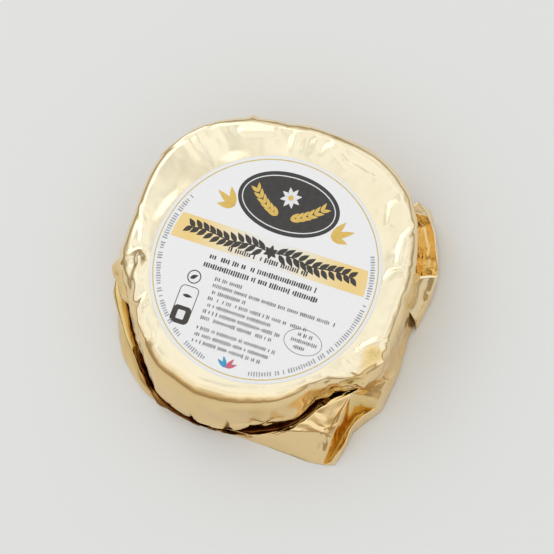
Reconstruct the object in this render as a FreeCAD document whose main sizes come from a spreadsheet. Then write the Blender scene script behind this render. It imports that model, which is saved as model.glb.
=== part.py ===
"""A round block of butter wrapped in foil, with a round paper label on its flat top.

The foil pack is one closed solid: the butter can't be seen, so nothing is modelled inside it.
Its body is a ruled loft through rings of points, one ring for each level of the wrap. Four ears,
where the corners of the square sheet of foil were gathered, are lofted as open folds and fused on.
Millimetres. +Z is up, +X is the label's reading direction, and the origin is under the middle
of the whole pack, on the surface that it stands on.
"""
import FreeCAD
import Part
import Sketcher
import os
from math import cos, pi, radians, sin

# Driving dimensions: alias, value in millimetres or degrees, what it is.
SIZES = [
    ("round_width", 94.0, "butter in its foil, across X, at its widest"),
    ("round_depth", 101.0, "butter in its foil, across Y, at its widest"),
    ("round_height", 35.5, "from the table to the flat top"),
    ("corner_power", 2.6, "2 is an ellipse, more is squarer"),
    ("corner_swell", 2.2, "extra radius at the back left corner"),
    ("corner_azimuth", 147.0, "where that corner is"),
    ("rim_sharp", 3.5, "radius of the top rim away from the soft roll"),
    ("rim_soft", 9.0, "radius of the top rim at the middle of the soft roll"),
    ("roll_azimuth", -102.0, "where the soft roll and the tuck below it are deepest"),
    ("roll_span", 105.0, "degrees to each side where the soft roll fades out"),
    ("roll_setback", 3.5, "how far the rim lies inside the belly at the soft roll"),
    ("tuck_height", 11.0, "height of the pinched line under the soft roll"),
    ("tuck_depth", 3.2, "how deep that line goes into the side"),
    ("flare_left", 5.5, "how far the skirt of foil spreads at the table, left of the roll"),
    ("flare_right", 3.0, "how far the side spreads at the table, on the right"),
    ("flare_back", 1.0, "how far the side spreads at the table, at the back"),
    ("foot_tuck", 3.0, "how far the foot lies back under the middle of the soft roll"),
    ("crease_depth", 0.35, "depth of the small flats that the foil takes round the side"),
    ("label_diameter", 75.4, "paper label"),
    ("label_thickness", 0.2, "paper label with its glue"),
    ("label_shift_x", 1.0, "label's centre from the middle of the butter, X"),
    ("label_shift_y", 1.1, "label's centre from the middle of the butter, Y"),
    ("ear_root", 9.0, "how far each ear reaches back into the butter's outline"),
    ("front_azimuth", -39.5, "front ear: where it leaves the side"),
    ("front_heading", -95.0, "front ear: the way it points"),
    ("front_reach", 17.0, "front ear: length outside the side"),
    ("front_rise", 20.0, "front ear: height at the side"),
    ("front_foot", 12.0, "front ear: half width at the table, on its clockwise side"),
    ("front_heel", 4.0, "front ear: half width at the table, on the other side"),
    ("front_mouth", 3.6, "front ear: width of the open fold"),
    ("front_pocket", 12.0, "front ear: depth of the open fold"),
    ("spur_heading", 18.0, "short second fold of the front ear: the way it points"),
    ("spur_reach", 5.0, "short second fold: length"),
    ("spur_rise", 19.0, "short second fold: height at the side"),
    ("spur_foot", 5.0, "short second fold: half width at the table, on its clockwise side"),
    ("spur_heel", 4.0, "short second fold: half width at the table, on the other side"),
    ("spur_mouth", 3.0, "short second fold: width of the open fold"),
    ("spur_pocket", 8.0, "short second fold: depth of the open fold"),
    ("right_azimuth", 33.0, "right ear: where it leaves the side"),
    ("right_heading", 4.0, "right ear: the way it points"),
    ("right_reach", 5.5, "right ear: length outside the side"),
    ("right_rise", 27.0, "right ear: height at the side"),
    ("right_foot", 9.0, "right ear: half width at the table, on its clockwise side"),
    ("right_heel", 8.0, "right ear: half width at the table, on the other side"),
    ("right_mouth", 4.0, "right ear: width of the open fold"),
    ("right_pocket", 11.0, "right ear: depth of the open fold"),
    ("back_azimuth", 130.0, "back ear: where it leaves the side"),
    ("back_heading", 118.0, "back ear: the way it points"),
    ("back_reach", 6.0, "back ear: length outside the side"),
    ("back_rise", 24.0, "back ear: height at the side"),
    ("back_foot", 9.0, "back ear: half width at the table, on its clockwise side"),
    ("back_heel", 9.0, "back ear: half width at the table, on the other side"),
    ("back_mouth", 3.0, "back ear: width of the open fold"),
    ("back_pocket", 8.0, "back ear: depth of the open fold"),
    ("left_azimuth", -164.0, "left ear: where it leaves the side"),
    ("left_heading", -172.0, "left ear: the way it points"),
    ("left_reach", 8.0, "left ear: length outside the side"),
    ("left_rise", 18.0, "left ear: height at the side"),
    ("left_foot", 12.0, "left ear: half width at the table, on its clockwise side"),
    ("left_heel", 12.0, "left ear: half width at the table, on the other side"),
    ("left_mouth", 5.0, "left ear: width of the open fold"),
    ("left_pocket", 9.0, "left ear: depth of the open fold"),
]
EARS = ["front", "spur", "right", "back", "left"]
# The short spur starts where the front ear starts.
STARTS_WITH = {"spur": "front"}

RING_POINTS = 72
RIM_STEPS = 4
# Where the ear's cross-sections stand along its reach, and how much of its height and of its
# width is left there. The first one is inside the butter.
EAR_STATIONS = [(None, 1.0, 1.0), (0.0, 1.0, 1.0), (0.55, 0.68, 0.62), (1.0, 0.3, 0.22)]
# The ear's flanks bend at a shoulder, given as shares of the ear's height and half width, and the
# lip on its anticlockwise side stands a little lower than the other.
SHOULDER_UP = 0.52
SHOULDER_IN = 0.45
OUTER_LIP = 0.86


def make_sheet(doc):
    """The spreadsheet of driving dimensions, one row each."""
    sheet = doc.addObject("Spreadsheet::Sheet", "Sizes")
    for row, (alias, value, meaning) in enumerate(SIZES, start=1):
        sheet.set(f"A{row}", meaning)
        sheet.set(f"B{row}", str(value))
        sheet.setAlias(f"B{row}", alias)
    middle_row = len(SIZES) + 1
    for row, axis in enumerate("xy", start=middle_row):
        sheet.set(f"A{row}", f"middle of the whole pack from the middle of the butter, {axis.upper()}")
        sheet.set(f"B{row}", "0.0")
        sheet.setAlias(f"B{row}", f"middle_{axis}")
    doc.recompute()
    return sheet, {f"middle_{axis}": f"B{row}" for row, axis in enumerate("xy", start=middle_row)}


def turn_from(azimuth, other):
    """The angle between two azimuths, 0 to 180 degrees."""
    return abs((azimuth - other + 180.0) % 360.0 - 180.0)


def fade(distance, span):
    """1 at no distance, falling smoothly to 0 at the span."""
    return 0.5 * (1.0 + cos(pi * min(1.0, distance / span)))


def belly_radius(sheet, azimuth):
    """Radius of the butter's outline at its widest: a superellipse with one swollen corner."""
    across = abs(cos(radians(azimuth))) / (sheet.round_width / 2)
    along = abs(sin(radians(azimuth))) / (sheet.round_depth / 2)
    power = sheet.corner_power
    plain = (across ** power + along ** power) ** (-1.0 / power)
    return plain + sheet.corner_swell * fade(turn_from(azimuth, sheet.corner_azimuth), 32.0)


def crease(sheet, azimuth, level):
    """Small flats round the side: two waves of unlike counts, turned a little at each level."""
    wave = sin(radians(17 * azimuth + 40 * level)) + 0.7 * sin(radians(29 * azimuth - 65 * level))
    return sheet.crease_depth * wave


def flare(sheet, azimuth):
    """How far the foil spreads at the table: most at the left, and tucked under at the roll."""
    return (
        sheet.flare_left * fade(turn_from(azimuth, sheet.roll_azimuth - 45.0), 60.0)
        + sheet.flare_right * fade(turn_from(azimuth, 0.0), 70.0)
        + sheet.flare_back * fade(turn_from(azimuth, 100.0), 90.0)
        - sheet.foot_tuck * fade(turn_from(azimuth, sheet.roll_azimuth + 8.0), 35.0)
    )


def side_profile(sheet, soft, spread):
    """(offset from the belly's radius, height) up the side, from the table to the rim's start.
    soft is 1 at the middle of the soft roll and 0 away from it; spread is the flare."""
    tuck = sheet.tuck_height
    belly = (tuck + sheet.round_height) / 2
    return [
        (spread, 0.0),
        (0.62 * spread, tuck * 0.5),
        (0.38 * spread - 0.2 * sheet.tuck_depth * soft, tuck * 0.82),
        (-sheet.tuck_depth * soft, tuck),
        (-0.15 * sheet.tuck_depth * soft, tuck * 1.25),
        (0.0, tuck * 1.6),
        (-0.3 * sheet.roll_setback * soft, belly),
    ]


def ring_points(sheet, level):
    """One ring of points round the pack. Levels run up the side and then over the rim."""
    points = []
    for step in range(RING_POINTS):
        azimuth = 360.0 * step / RING_POINTS
        soft = fade(turn_from(azimuth, sheet.roll_azimuth), sheet.roll_span)
        belly = belly_radius(sheet, azimuth)
        profile = side_profile(sheet, soft, flare(sheet, azimuth))
        if level < len(profile):
            offset, height = profile[level]
            radius = belly + offset + crease(sheet, azimuth, level) * (height > 0)
        else:
            rim = sheet.rim_sharp + (sheet.rim_soft - sheet.rim_sharp) * soft
            climb = radians(90.0 * (level - len(profile)) / RIM_STEPS)
            radius = belly - sheet.roll_setback * soft - rim * (1 - cos(climb))
            height = sheet.round_height - rim * (1 - sin(climb))
        points.append(FreeCAD.Vector(radius * cos(radians(azimuth)), radius * sin(radians(azimuth)), height))
    return points


def closed_wire(doc, name, points):
    """A closed polygon as an object of the document, to loft through."""
    wire = doc.addObject("Part::Feature", name)
    wire.Shape = Part.makePolygon(points + points[:1])
    return wire


def make_loft(doc, name, wires):
    """A solid ruled loft through the wires."""
    loft = doc.addObject("Part::Loft", name)
    loft.Sections = wires
    loft.Solid = True
    loft.Ruled = True
    return loft


def make_round(doc, sheet):
    """The butter in its foil: side, tuck, soft roll, rim and flat top."""
    levels = len(side_profile(sheet, 0.0, 0.0)) + RIM_STEPS + 1
    wires = [closed_wire(doc, f"ring_{level:02d}", ring_points(sheet, level)) for level in range(levels)]
    return make_loft(doc, "wrapped_round", wires)


def make_ear(doc, sheet, name):
    """One gathered corner of the foil: a fin with an open fold along its top edge."""
    start = STARTS_WITH.get(name, name)
    azimuth = radians(getattr(sheet, f"{start}_azimuth"))
    heading = radians(getattr(sheet, f"{name}_heading"))
    reach, rise, foot, heel, mouth, pocket = (
        getattr(sheet, f"{name}_{word}") for word in ("reach", "rise", "foot", "heel", "mouth", "pocket")
    )
    radius = belly_radius(sheet, getattr(sheet, f"{start}_azimuth"))
    root = FreeCAD.Vector(radius * cos(azimuth), radius * sin(azimuth), 0)
    ahead = FreeCAD.Vector(cos(heading), sin(heading), 0)
    aside = FreeCAD.Vector(-sin(heading), cos(heading), 0)
    wires = []
    for number, (share, tall, wide) in enumerate(EAR_STATIONS):
        middle = root + ahead * (-sheet.ear_root if share is None else reach * share)
        top = rise * tall
        lip = mouth * (1 + wide) / 4
        section = [
            (-foot * wide, 0.0),
            (-foot * wide * SHOULDER_IN - lip, top * SHOULDER_UP),
            (-lip, top),
            (0.0, top - pocket * tall),
            (lip, top * OUTER_LIP),
            (heel * wide * SHOULDER_IN + lip, top * SHOULDER_UP),
            (heel * wide, 0.0),
        ]
        points = [middle + aside * across + FreeCAD.Vector(0, 0, up) for across, up in section]
        wires.append(closed_wire(doc, f"{name}_section_{number}", points))
    return make_loft(doc, f"{name}_ear", wires)


def make_pack(doc, sheet):
    """The foil pack: the wrapped round with its ears, one solid."""
    pack = doc.addObject("Part::MultiFuse", "foil_pack")
    pack.Shapes = [make_round(doc, sheet)] + [make_ear(doc, sheet, name) for name in EARS]
    pack.setExpression("Placement.Base.x", "-Sizes.middle_x")
    pack.setExpression("Placement.Base.y", "-Sizes.middle_y")
    return pack


def make_label(doc):
    """The round paper label, stuck to the flat top."""
    body = doc.addObject("PartDesign::Body", "label")
    plane = next(f for f in body.Origin.OriginFeatures if f.Role == "XY_Plane")
    sketch = body.newObject("Sketcher::SketchObject", "label_outline")
    sketch.AttachmentSupport = [(plane, "")]
    sketch.MapMode = "FlatFace"
    sketch.addGeometry(Part.Circle(FreeCAD.Vector(0, 0, 0), FreeCAD.Vector(0, 0, 1), 30.0))
    sketch.addConstraint(Sketcher.Constraint("Coincident", 0, 3, -1, 1))
    size = sketch.addConstraint(Sketcher.Constraint("Diameter", 0, 60.0))
    sketch.setExpression(f"Constraints[{size}]", "Sizes.label_diameter")
    pad = body.newObject("PartDesign::Pad", "label_paper")
    pad.Profile = sketch
    pad.setExpression("Length", "Sizes.label_thickness")
    body.setExpression("Placement.Base.x", "Sizes.label_shift_x - Sizes.middle_x")
    body.setExpression("Placement.Base.y", "Sizes.label_shift_y - Sizes.middle_y")
    body.setExpression("Placement.Base.z", "Sizes.round_height")
    return body


def check(doc, parts):
    """Stops if an object failed to compute, or a sub-part isn't one valid solid."""
    for item in doc.Objects:
        if "Invalid" in item.State or "Error" in item.State:
            raise RuntimeError(f"{item.Name} failed to compute: {item.State}")
    for part in parts:
        if part.Shape.isNull() or not part.Shape.isValid() or len(part.Shape.Solids) != 1:
            raise RuntimeError(f"{part.Label} isn't one valid solid")


def main():
    doc = FreeCAD.newDocument("butter_pack")
    sheet, middle_cells = make_sheet(doc)
    pack = make_pack(doc, sheet)
    label = make_label(doc)
    doc.recompute()
    box = pack.Shape.BoundBox
    sheet.set(middle_cells["middle_x"], str(box.Center.x))
    sheet.set(middle_cells["middle_y"], str(box.Center.y))
    doc.recompute()
    parts = [pack, label]
    for part in parts:
        part.Label = part.Name
    check(doc, parts)
    os.makedirs("parts", exist_ok=True)
    for part in parts:
        box = part.Shape.BoundBox
        part.Shape.exportStep(f"parts/{part.Label}.step")
        print(f"{part.Label}: {len(part.Shape.Faces)} faces, {part.Shape.Volume / 1000:.1f} cm3,"
              f" x {box.XMin:.2f} to {box.XMax:.2f}, y {box.YMin:.2f} to {box.YMax:.2f},"
              f" z {box.ZMin:.2f} to {box.ZMax:.2f}")


main()
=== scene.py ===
"""Looks of the foil-wrapped round butter block: crumpled gold foil and its printed paper label.

Lengths in the shape code are millimetres in the butter's own frame, with the middle of the butter
at the origin; to_frame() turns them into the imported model's metres.
"""
from math import cos, pi, radians, sin

import bpy
import numpy as np
from mathutils import Matrix, Vector
from mathutils.geometry import delaunay_2d_cdt


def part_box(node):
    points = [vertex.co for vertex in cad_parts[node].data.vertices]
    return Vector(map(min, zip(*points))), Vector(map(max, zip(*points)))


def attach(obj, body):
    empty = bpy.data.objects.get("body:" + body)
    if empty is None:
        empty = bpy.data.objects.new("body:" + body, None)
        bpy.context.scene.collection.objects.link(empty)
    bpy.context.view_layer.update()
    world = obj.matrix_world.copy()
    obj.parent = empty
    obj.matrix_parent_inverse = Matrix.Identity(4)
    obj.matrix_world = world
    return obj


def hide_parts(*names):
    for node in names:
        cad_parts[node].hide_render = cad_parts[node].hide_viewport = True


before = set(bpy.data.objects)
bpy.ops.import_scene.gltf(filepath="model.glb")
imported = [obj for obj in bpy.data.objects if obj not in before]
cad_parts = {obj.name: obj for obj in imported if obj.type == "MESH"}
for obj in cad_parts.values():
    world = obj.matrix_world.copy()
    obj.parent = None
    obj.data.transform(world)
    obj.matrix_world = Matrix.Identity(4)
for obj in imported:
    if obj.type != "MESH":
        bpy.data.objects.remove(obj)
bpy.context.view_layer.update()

MM = 0.001
BODY = "root"

# ---------------- sizes, millimetres and degrees
label_low, label_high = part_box("label")
TOP = label_low.z / MM                       # the flat top of the foil
LABEL_RADIUS = (label_high.x - label_low.x) / 2 / MM
LABEL_THICKNESS = (label_high.z - label_low.z) / MM
LABEL_SHIFT = (1.0, 1.1)                     # label's centre from the middle of the butter
LABEL_MIDDLE = (label_low + label_high) / 2

ROUND_WIDTH, ROUND_DEPTH, CORNER_POWER = 94.0, 101.0, 2.6
CORNER_SWELL, RUN_REACH = 2.2, 0.55          # how far one corner and the straight runs stand out
TOP_RING, BASE_RING = 28.0, 24.0             # radii of the innermost rings on the top and the base
COLUMNS = 480
FOIL_THICKNESS = 0.12

# Stretches of the wrap: the azimuth of each one's middle and how far it reaches to each side.
SWOLLEN_CORNER, SOFT_ROLL, SMOOTH_ROLL = (147.0, 32.0), (-99.0, 92.0), (-98.0, 52.0)
# DARK_FRONT and DARK_CORNER mark where painted shade darkens the foil over the fold: under the front roll
# and where the roll meets the front ear.
LOW_FRONT, DARK_FRONT, DARK_CORNER = (-105.0, 60.0), (-108.0, 46.0), (-73.0, 22.0)
BACK, RIGHT_WALL = (110.0, 120.0), (-5.0, 28.0)
PLEATS_FROM, PLEATS_TO = -14.0, 186.0

# The top edge's section, from the flat top down to the wall, out and down from the wall's own reach:
# a sharp fold round most of the pack and a long soft roll at the front.
RIM_SHARP = [(-3.5, 0.0), (-2.6, -0.1), (-1.75, -0.47), (-1.0, -1.0), (-0.47, -1.75), (-0.1, -2.6),
             (0.0, -3.5)]
RIM_SOFT = [(-13.0, 0.0), (-10.2, -0.3), (-7.7, -1.1), (-5.7, -2.4), (-4.2, -4.0), (-3.2, -6.6),
            (0.0, -24.0)]
RIM_ROWS = (3, 3, 3, 3, 3, 4, 18)            # rows of the mesh from each point to the next

# How the lower wrap is folded, by azimuth: how far the wall is drawn in, the height and the reach of the
# folded lip, the depth of the pocket behind the lip, and the reach of the foot.
FOLDS = [
    (-180, 0.0, 9.0, 0.2, 0.0, 1.2), (-170, 0.4, 9.5, 1.2, 1.0, 3.0), (-164, 1.6, 16.5, 3.4, 8.0, 6.0),
    (-155, 4.6, 13.5, 1.8, 9.0, 5.2), (-148, 6.2, 11.0, 0.0, 8.0, 4.4), (-140, 6.2, 9.3, -1.4, 7.0, 3.4),
    (-132, 5.2, 8.0, -1.6, 6.0, 2.2), (-123, 4.0, 6.5, -0.7, 4.5, 1.5), (-114, 3.0, 5.6, 0.1, 3.5, -1.0),
    (-100, 1.8, 5.0, -0.2, 3.0, -2.8), (-88, 2.5, 4.6, -1.4, 3.0, -2.6), (-80, 3.6, 4.6, -2.4, 3.0, -2.4),
    (-69, 6.2, 6.5, -5.0, 3.0, -6.0), (-63, 7.0, 9.6, -5.8, 3.0, -8.0), (-56, 8.3, 12.6, -7.6, 3.0, -9.5),
    (-48, 9.4, 15.6, -9.1, 3.0, -10.5), (-40, 8.6, 17.6, -8.5, 3.0, -10.0),
    (-34, 5.4, 18.5, -5.6, 2.0, -7.5), (-28, 2.0, 11.0, -2.0, 1.0, -2.0), (-20, 0.2, 7.0, 0.2, 0.0, 0.8),
    (-10, 0.0, 7.0, 0.1, 0.0, 0.4), (2, 0.0, 7.0, 0.0, 0.0, 0.0), (10, 0.0, 8.0, 0.2, 0.0, 1.0),
    (45, 0.0, 8.0, 0.2, 0.0, 1.0),
    (90, 0.0, 8.0, 0.1, 0.0, 0.6), (140, 0.0, 8.0, 0.2, 0.0, 1.0), (180, 0.0, 9.0, 0.2, 0.0, 1.2),
]
PAINTED_WALL_SHADE = 0.12                            # painted shade: how golden the walls are painted, as a reflection of the floor, on the foil's painted-shade scale
# Painted shade down the rim's section, one value per point of RIM_SHARP and RIM_SOFT, from none on the flat
# top to the walls' painted shade.
PAINTED_RIM_SHADES = (0.0, 0.0, 0.0, 0.02, 0.05, 0.09, PAINTED_WALL_SHADE)
PAINTED_ROLL_SHADES = (0.0, 0.0, 0.02, 0.14, 0.15, 0.08, 0.0)    # added again where the roll is soft: a painted reflection of the dim horizon, a dull olive band
# Small tucks pressed into the lower roll just over the fold, each also painted dark as shade: azimuth, half
# width in degrees, height.
TUCKS = [(-133, 6.0, 11.0), (-121, 5.0, 10.0), (-112, 3.0, 4.5), (-101, 4.5, 9.0), (-93.5, 3.0, 6.0),
         (-87, 4.5, 10.5), (-78, 3.5, 7.0)]
RUNS_SEED, PLEATS_SEED, CRUMPLE_SEED, SHADES_SEED = 5, 8, 11, 31


def to_frame(points):
    """Butter-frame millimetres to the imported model's metres."""
    shift = np.array([LABEL_MIDDLE.x - LABEL_SHIFT[0] * MM, LABEL_MIDDLE.y - LABEL_SHIFT[1] * MM, 0.0])
    return np.asarray(points, float) * MM + shift


# ---------------- shape of the wrap
def fade(azimuth, middle, span):
    """1 at the middle azimuth, falling smoothly to 0 a span away on both sides."""
    away = np.abs((azimuth - middle + 180.0) % 360.0 - 180.0)
    return 0.5 * (1.0 + np.cos(pi * np.minimum(1.0, away / span)))


def outline(azimuth):
    """Radius of the wrap at its widest, by azimuth in degrees."""
    across = np.abs(np.cos(np.radians(azimuth))) / (ROUND_WIDTH / 2)
    along = np.abs(np.sin(np.radians(azimuth))) / (ROUND_DEPTH / 2)
    plain = (across ** CORNER_POWER + along ** CORNER_POWER) ** (-1.0 / CORNER_POWER)
    return plain + CORNER_SWELL * fade(azimuth, *SWOLLEN_CORNER)


def edge_runs(azimuth):
    """The straight runs and slight corners of the outline: how far it stands out, by azimuth."""
    draw = np.random.default_rng(RUNS_SEED)
    turns = np.cumsum(draw.uniform(8.0, 20.0, 60))
    turns = turns[turns < 352.0] - 180.0
    reach = draw.uniform(-RUN_REACH, RUN_REACH, len(turns))
    return np.interp(azimuth, turns, reach, period=360.0)


def fold_sizes(azimuth):
    """The five sizes of the folded lower wrap at each azimuth, from FOLDS."""
    folds = np.array(FOLDS)
    return [np.interp(azimuth, folds[:, 0], folds[:, k], period=360.0) for k in range(1, 6)]


def stations(azimuth):
    """The wrap's section at each azimuth: (radius, height, painted shade, rows up to the next)."""
    drawn_in, lip_up, lip_out, pocket, foot_out = fold_sizes(azimuth)
    soft = fade(azimuth, *SOFT_ROLL)
    widest = outline(azimuth)
    flat = 0.0 * azimuth
    opened = np.clip(pocket / 3.0, 0, 1)
    shut = 1 - opened
    runs = edge_runs(azimuth)
    wall = widest - drawn_in + runs
    lip = widest + lip_out + runs * shut
    foot = widest + foot_out + 0.6 * runs * shut
    rows = [(TOP_RING + flat, TOP + flat, flat, 26)]
    for (out_sharp, down_sharp), (out_soft, down_soft), count, shade, more in zip(
            RIM_SHARP, RIM_SOFT, RIM_ROWS, PAINTED_RIM_SHADES, PAINTED_ROLL_SHADES):
        rows.append((wall + out_sharp + (out_soft - out_sharp) * soft,
                     TOP + down_sharp + (down_soft - down_sharp) * soft, shade + more * soft, count))
    # Painted shade over the fold: a dark line under the front roll, a dark band where the roll meets the
    # front ear, brown in the open pockets behind the lip, and the walls' painted shade on the lip and foot.
    dark_front = fade(azimuth, *DARK_FRONT) ** 0.5
    dark_corner = fade(azimuth, *DARK_CORNER) ** 0.5
    over_lip = np.maximum(PAINTED_WALL_SHADE + 0.45 * opened, 0.85 * np.maximum(dark_corner, dark_front))
    in_pocket = PAINTED_WALL_SHADE + (1 - PAINTED_WALL_SHADE) * opened
    on_lip = np.maximum(PAINTED_WALL_SHADE + 0.15 * opened, 0.8 * dark_front)
    rows.append((wall, lip_up + 2.0 + 8.0 * shut, PAINTED_WALL_SHADE + 0.12 * dark_corner, 5))
    rows.append((wall - 0.15 * pocket, lip_up + 0.3 + 5.2 * shut, over_lip, 8))
    rows.append((wall - 0.30 * pocket, lip_up - pocket + 2.5 * shut, in_pocket, 8))
    rows.append((lip, lip_up, on_lip, 8))
    rows.append((0.5 * (lip + foot), 0.5 * lip_up, flat + PAINTED_WALL_SHADE, 7))
    rows.append((foot, 0.5 + flat, flat + PAINTED_WALL_SHADE, 3))
    rows.append((foot - 2.0, flat, flat + PAINTED_WALL_SHADE, 9))
    rows.append((BASE_RING + flat, flat, flat + PAINTED_WALL_SHADE, 0))
    return rows


def shell_grid(columns):
    """Grid of points, rows down the section by columns round the wrap, and each one's painted shade."""
    azimuth = np.arange(columns) * 360.0 / columns - 180.0
    rows = stations(azimuth)
    values = []
    for start, end in zip(rows, rows[1:]):
        for step in range(start[3]):
            values.append([a + (b - a) * step / start[3] for a, b in zip(start[:3], end[:3])])
    values.append(rows[-1][:3])
    values = np.array(values)
    for _ in range(2):
        values[1:-1] = (values[:-2] + 2 * values[1:-1] + values[2:]) / 4
    radii, heights, depth = values[:, 0], values[:, 1], values[:, 2]
    angle = np.radians(azimuth)
    return np.stack([radii * np.cos(angle), radii * np.sin(angle), heights], axis=-1), depth


def grid_azimuth(grid):
    """Azimuth of each grid point, in degrees."""
    return np.degrees(np.arctan2(grid[..., 1], grid[..., 0]))


def tuck_share(grid):
    """1 inside the small three-cornered tucks over the front fold, falling to 0 at their edges."""
    azimuth = grid_azimuth(grid)
    above = grid[..., 2] - fold_sizes(azimuth)[1]
    inside = np.zeros(azimuth.shape)
    for middle, half_width, tall in TUCKS:
        across = (azimuth - middle) / half_width
        edge = tall * np.clip(np.where(across < 0, 1 + across, 1 - 2.5 * across), 0, 1)
        inside = np.maximum(inside, np.clip((edge - above) / 0.7, 0, 1))
    return inside * np.clip(above + 1.0, 0, 1)


# ---------------- meshes
def add_object(name, data):
    """An object of a mesh, lamp or camera, placed in the scene."""
    made = bpy.data.objects.new(name, data)
    bpy.context.scene.collection.objects.link(made)
    return made


def make_mesh(name, points, faces, smooth=True):
    mesh = bpy.data.meshes.new(name)
    mesh.from_pydata([tuple(p) for p in points], [], faces)
    mesh.update()
    if smooth:
        mesh.shade_smooth()
    else:
        mesh.shade_flat()
    return add_object(name, mesh)


def closed_mesh(name, grid, top, bottom):
    """A grid of points, rows by columns closed round, with a fan to a middle point at both ends."""
    rows, columns = grid.shape[:2]
    i, j = np.meshgrid(np.arange(rows - 1), np.arange(columns), indexing="ij")
    k = (j + 1) % columns
    corners = [i * columns + j, (i + 1) * columns + j, (i + 1) * columns + k, i * columns + k]
    faces = np.stack(corners, axis=-1).reshape(-1, 4).tolist()
    count = rows * columns
    last = count - columns
    for j in range(columns):
        k = (j + 1) % columns
        faces.append((count, j, k))
        faces.append((count + 1, last + k, last + j))
    return make_mesh(name, [*grid.reshape(-1, 3), top, bottom], faces)


def store_painted_shade(piece, values):
    """Keeps each point's painted shade, which darkens and warms the foil's colour where shade and
    reflections would fall.
    """
    depth = piece.data.attributes.new("painted_fold_shade", "FLOAT", "POINT")
    depth.data.foreach_set("value", values.astype(np.float32))


# ---------------- nodes
class Nodes:
    """The nodes of a material, of the room or of a modifier, with short ways to add and join them."""

    def __init__(self, tree):
        self.tree = tree
        tree.nodes.clear()

    def feed(self, socket, value):
        """Joins another node's output to a socket, or sets the socket to a plain value."""
        if isinstance(value, bpy.types.NodeSocket):
            self.tree.links.new(value, socket)
        else:
            socket.default_value = value

    def add(self, kind, inputs=None, **settings):
        """A node with its settings, and then its inputs by name or number."""
        node = self.tree.nodes.new(kind)
        for name, value in settings.items():
            setattr(node, name, value)
        for name, value in (inputs or {}).items():
            self.feed(node.inputs[name], value)
        return node

    def math(self, operation, first, second):
        return self.add("ShaderNodeMath", {0: first, 1: second}, operation=operation).outputs[0]

    def noise(self, place, scale, detail):
        inputs = {"Vector": place, "Scale": scale, "Detail": detail}
        return self.add("ShaderNodeTexNoise", inputs).outputs["Fac"]

    def bump(self, height, distance, strength, **below):
        inputs = {"Height": height, "Distance": distance, "Strength": strength, **below}
        return self.add("ShaderNodeBump", inputs).outputs["Normal"]

    def multiply(self, first, second):
        inputs = {"Factor": 1.0, "A": first, "B": second}
        return self.add("ShaderNodeMix", inputs, data_type="RGBA", blend_type="MULTIPLY").outputs["Result"]

    def ramp(self, factor, stops):
        node = self.add("ShaderNodeValToRGB", {"Fac": factor})
        elements = node.color_ramp.elements
        for k in (0, -1):
            elements[k].position = stops[k][0]
            elements[k].color = (*stops[k][1], 1)
        for position, colour in stops[1:-1]:
            elements.new(position).color = (*colour, 1)
        return node.outputs["Color"]

    def greys(self, factor, low, high):
        """From one grey to another over the middle of a noise."""
        return self.ramp(factor, [(0.3, (low,) * 3), (0.7, (high,) * 3)])


# ---------------- crumpling
SAG = 0.01                                   # how far each pass of buckling settles back to the wrap
# Where the foil has more length than the wrap needs, so that it buckles: the middle in butter-frame
# millimetres, the radius of the patch, the extra length as a share, and how far it may stand proud.
CRUMPLES = [
    ((-42.0, -16.0, 30.0), 11.0, 0.030, 1.2),
    ((-34.0, -30.0, 26.0), 9.0, 0.016, 0.6),
    ((42.0, -20.0, 32.0), 7.0, 0.035, 1.2),
    ((44.0, -4.0, 35.0), 8.0, 0.008, 0.4),
    ((43.0, 18.0, 35.0), 10.0, 0.008, 0.4),
    ((37.0, 38.0, 33.0), 8.0, 0.025, 0.8),
    ((-35.0, 38.0, 34.0), 10.0, 0.020, 0.7),
    ((0.0, 49.0, 30.0), 14.0, 0.020, 0.7),
]
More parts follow.
